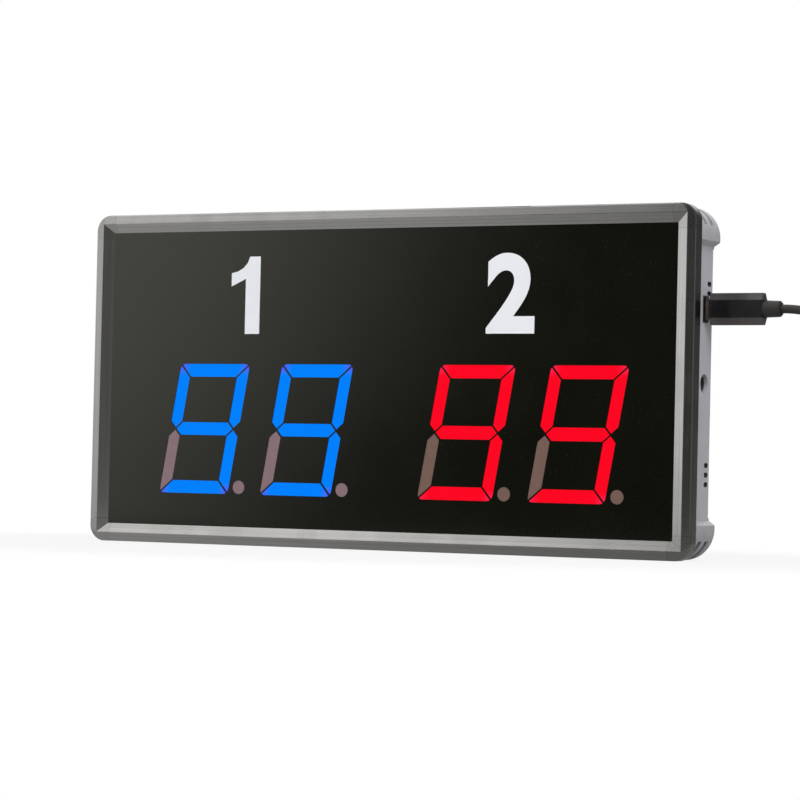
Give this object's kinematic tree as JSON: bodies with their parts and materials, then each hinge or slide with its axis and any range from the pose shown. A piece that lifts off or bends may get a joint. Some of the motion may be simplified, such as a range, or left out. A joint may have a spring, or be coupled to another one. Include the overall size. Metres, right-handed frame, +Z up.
{
  "type": "electronic scoreboard",
  "caption": "Tabletop electronic scoreboard with a rounded frame, dark panel, seven-segment digits, corner guards and a plug-in power lead.",
  "frame": {"origin": "centre of the base, on the surface the scoreboard stands on, mid-depth", "axes": "+X to the viewer's right along the width, -Y out of the display face, +Z up"},
  "size_m": [0.6994, 0.0475, 0.2],
  "materials": {
    "frame_aluminium": "satin anodised extrusion",
    "frame_corner_plastic": "satin grey moulding",
    "panel_acrylic": "gloss black acrylic sheet with a printed face",
    "gasket_foam": "closed-cell foam",
    "housing_plastic": "matte white moulding",
    "lens_blue": "lit blue diffuser",
    "lens_red": "lit red diffuser",
    "lens_unlit_left": "unlit milky diffuser",
    "lens_unlit_right": "unlit milky diffuser",
    "board_laminate": "green solder mask on laminate",
    "lamp_epoxy": "clear epoxy lamp",
    "chip_epoxy": "black moulding compound",
    "capacitor_sleeve": "dark shrink sleeve",
    "case_plastic": "fine-textured grey ABS moulding",
    "guard_plastic": "tough satin grey moulding",
    "screw_steel": "zinc-plated steel",
    "connector_metal": "nickel-plated steel",
    "connector_insulator": "black moulded insulator",
    "pin_metal": "nickel-plated brass",
    "header_nylon": "natural nylon",
    "wire_insulation": "PVC wire insulation",
    "plug_rubber": "matte black PVC overmould",
    "cord_jacket": "satin black PVC jacket",
    "tie_nylon": "black nylon strap"
  },
  "bodies": {
    "scoreboard": {"bottom_rail": "frame_aluminium", "case_screws": "screw_steel", "controller_chip": "chip_epoxy", "corner_guard_bottom_left": "guard_plastic", "corner_guard_bottom_right": "guard_plastic", "corner_guard_top_left": "guard_plastic", "corner_guard_top_right": "guard_plastic", "digit_1_housing": "housing_plastic", "digit_1_lit_lenses": "lens_blue", "digit_1_unlit_lenses": "lens_unlit_left", "digit_2_housing": "housing_plastic", "digit_2_lit_lenses": "lens_blue", "digit_2_unlit_lenses": "lens_unlit_left", "digit_3_housing": "housing_plastic", "digit_3_lit_lenses": "lens_red", "digit_3_unlit_lenses": "lens_unlit_right", "digit_4_housing": "housing_plastic", "digit_4_lit_lenses": "lens_red", "digit_4_unlit_lenses": "lens_unlit_right", "display_board": "board_laminate", "display_board_screws": "screw_steel", "driver_chips": "chip_epoxy", "filter_capacitor": "capacitor_sleeve", "frame_corner_bottom_left": "frame_corner_plastic", "frame_corner_bottom_right": "frame_corner_plastic", "frame_corner_top_left": "frame_corner_plastic", "frame_corner_top_right": "frame_corner_plastic", "front_panel": "panel_acrylic", "left_rail": "frame_aluminium", "link_headers": "header_nylon", "link_plugs": "header_nylon", "link_wires": "wire_insulation", "panel_gasket": "gasket_foam", "power_board": "board_laminate", "power_board_screws": "screw_steel", "power_jack_body": "connector_insulator", "power_jack_pin": "pin_metal", "rear_case": "case_plastic", "right_rail": "frame_aluminium", "segment_lamps": "lamp_epoxy", "top_rail": "frame_aluminium", "usb_socket_shell": "connector_metal", "usb_socket_tongue": "connector_insulator"},
    "power_lead": {"plug_shell": "connector_metal", "plug_core": "connector_insulator", "plug_grip": "plug_rubber", "plug_strain_relief": "plug_rubber", "power_cord": "cord_jacket", "power_cord_hank": "cord_jacket", "hank_tie": "tie_nylon", "far_plug_strain_relief": "plug_rubber", "far_plug_grip": "plug_rubber", "far_plug_shell": "connector_metal", "far_plug_core": "connector_insulator"}
  },
  "joints": [
    {"name": "power_plug_slide", "type": "slide", "parent": "scoreboard", "child": "power_lead", "axis": [1, 0, 0], "range_m": [0, 0.015]}
  ]
}
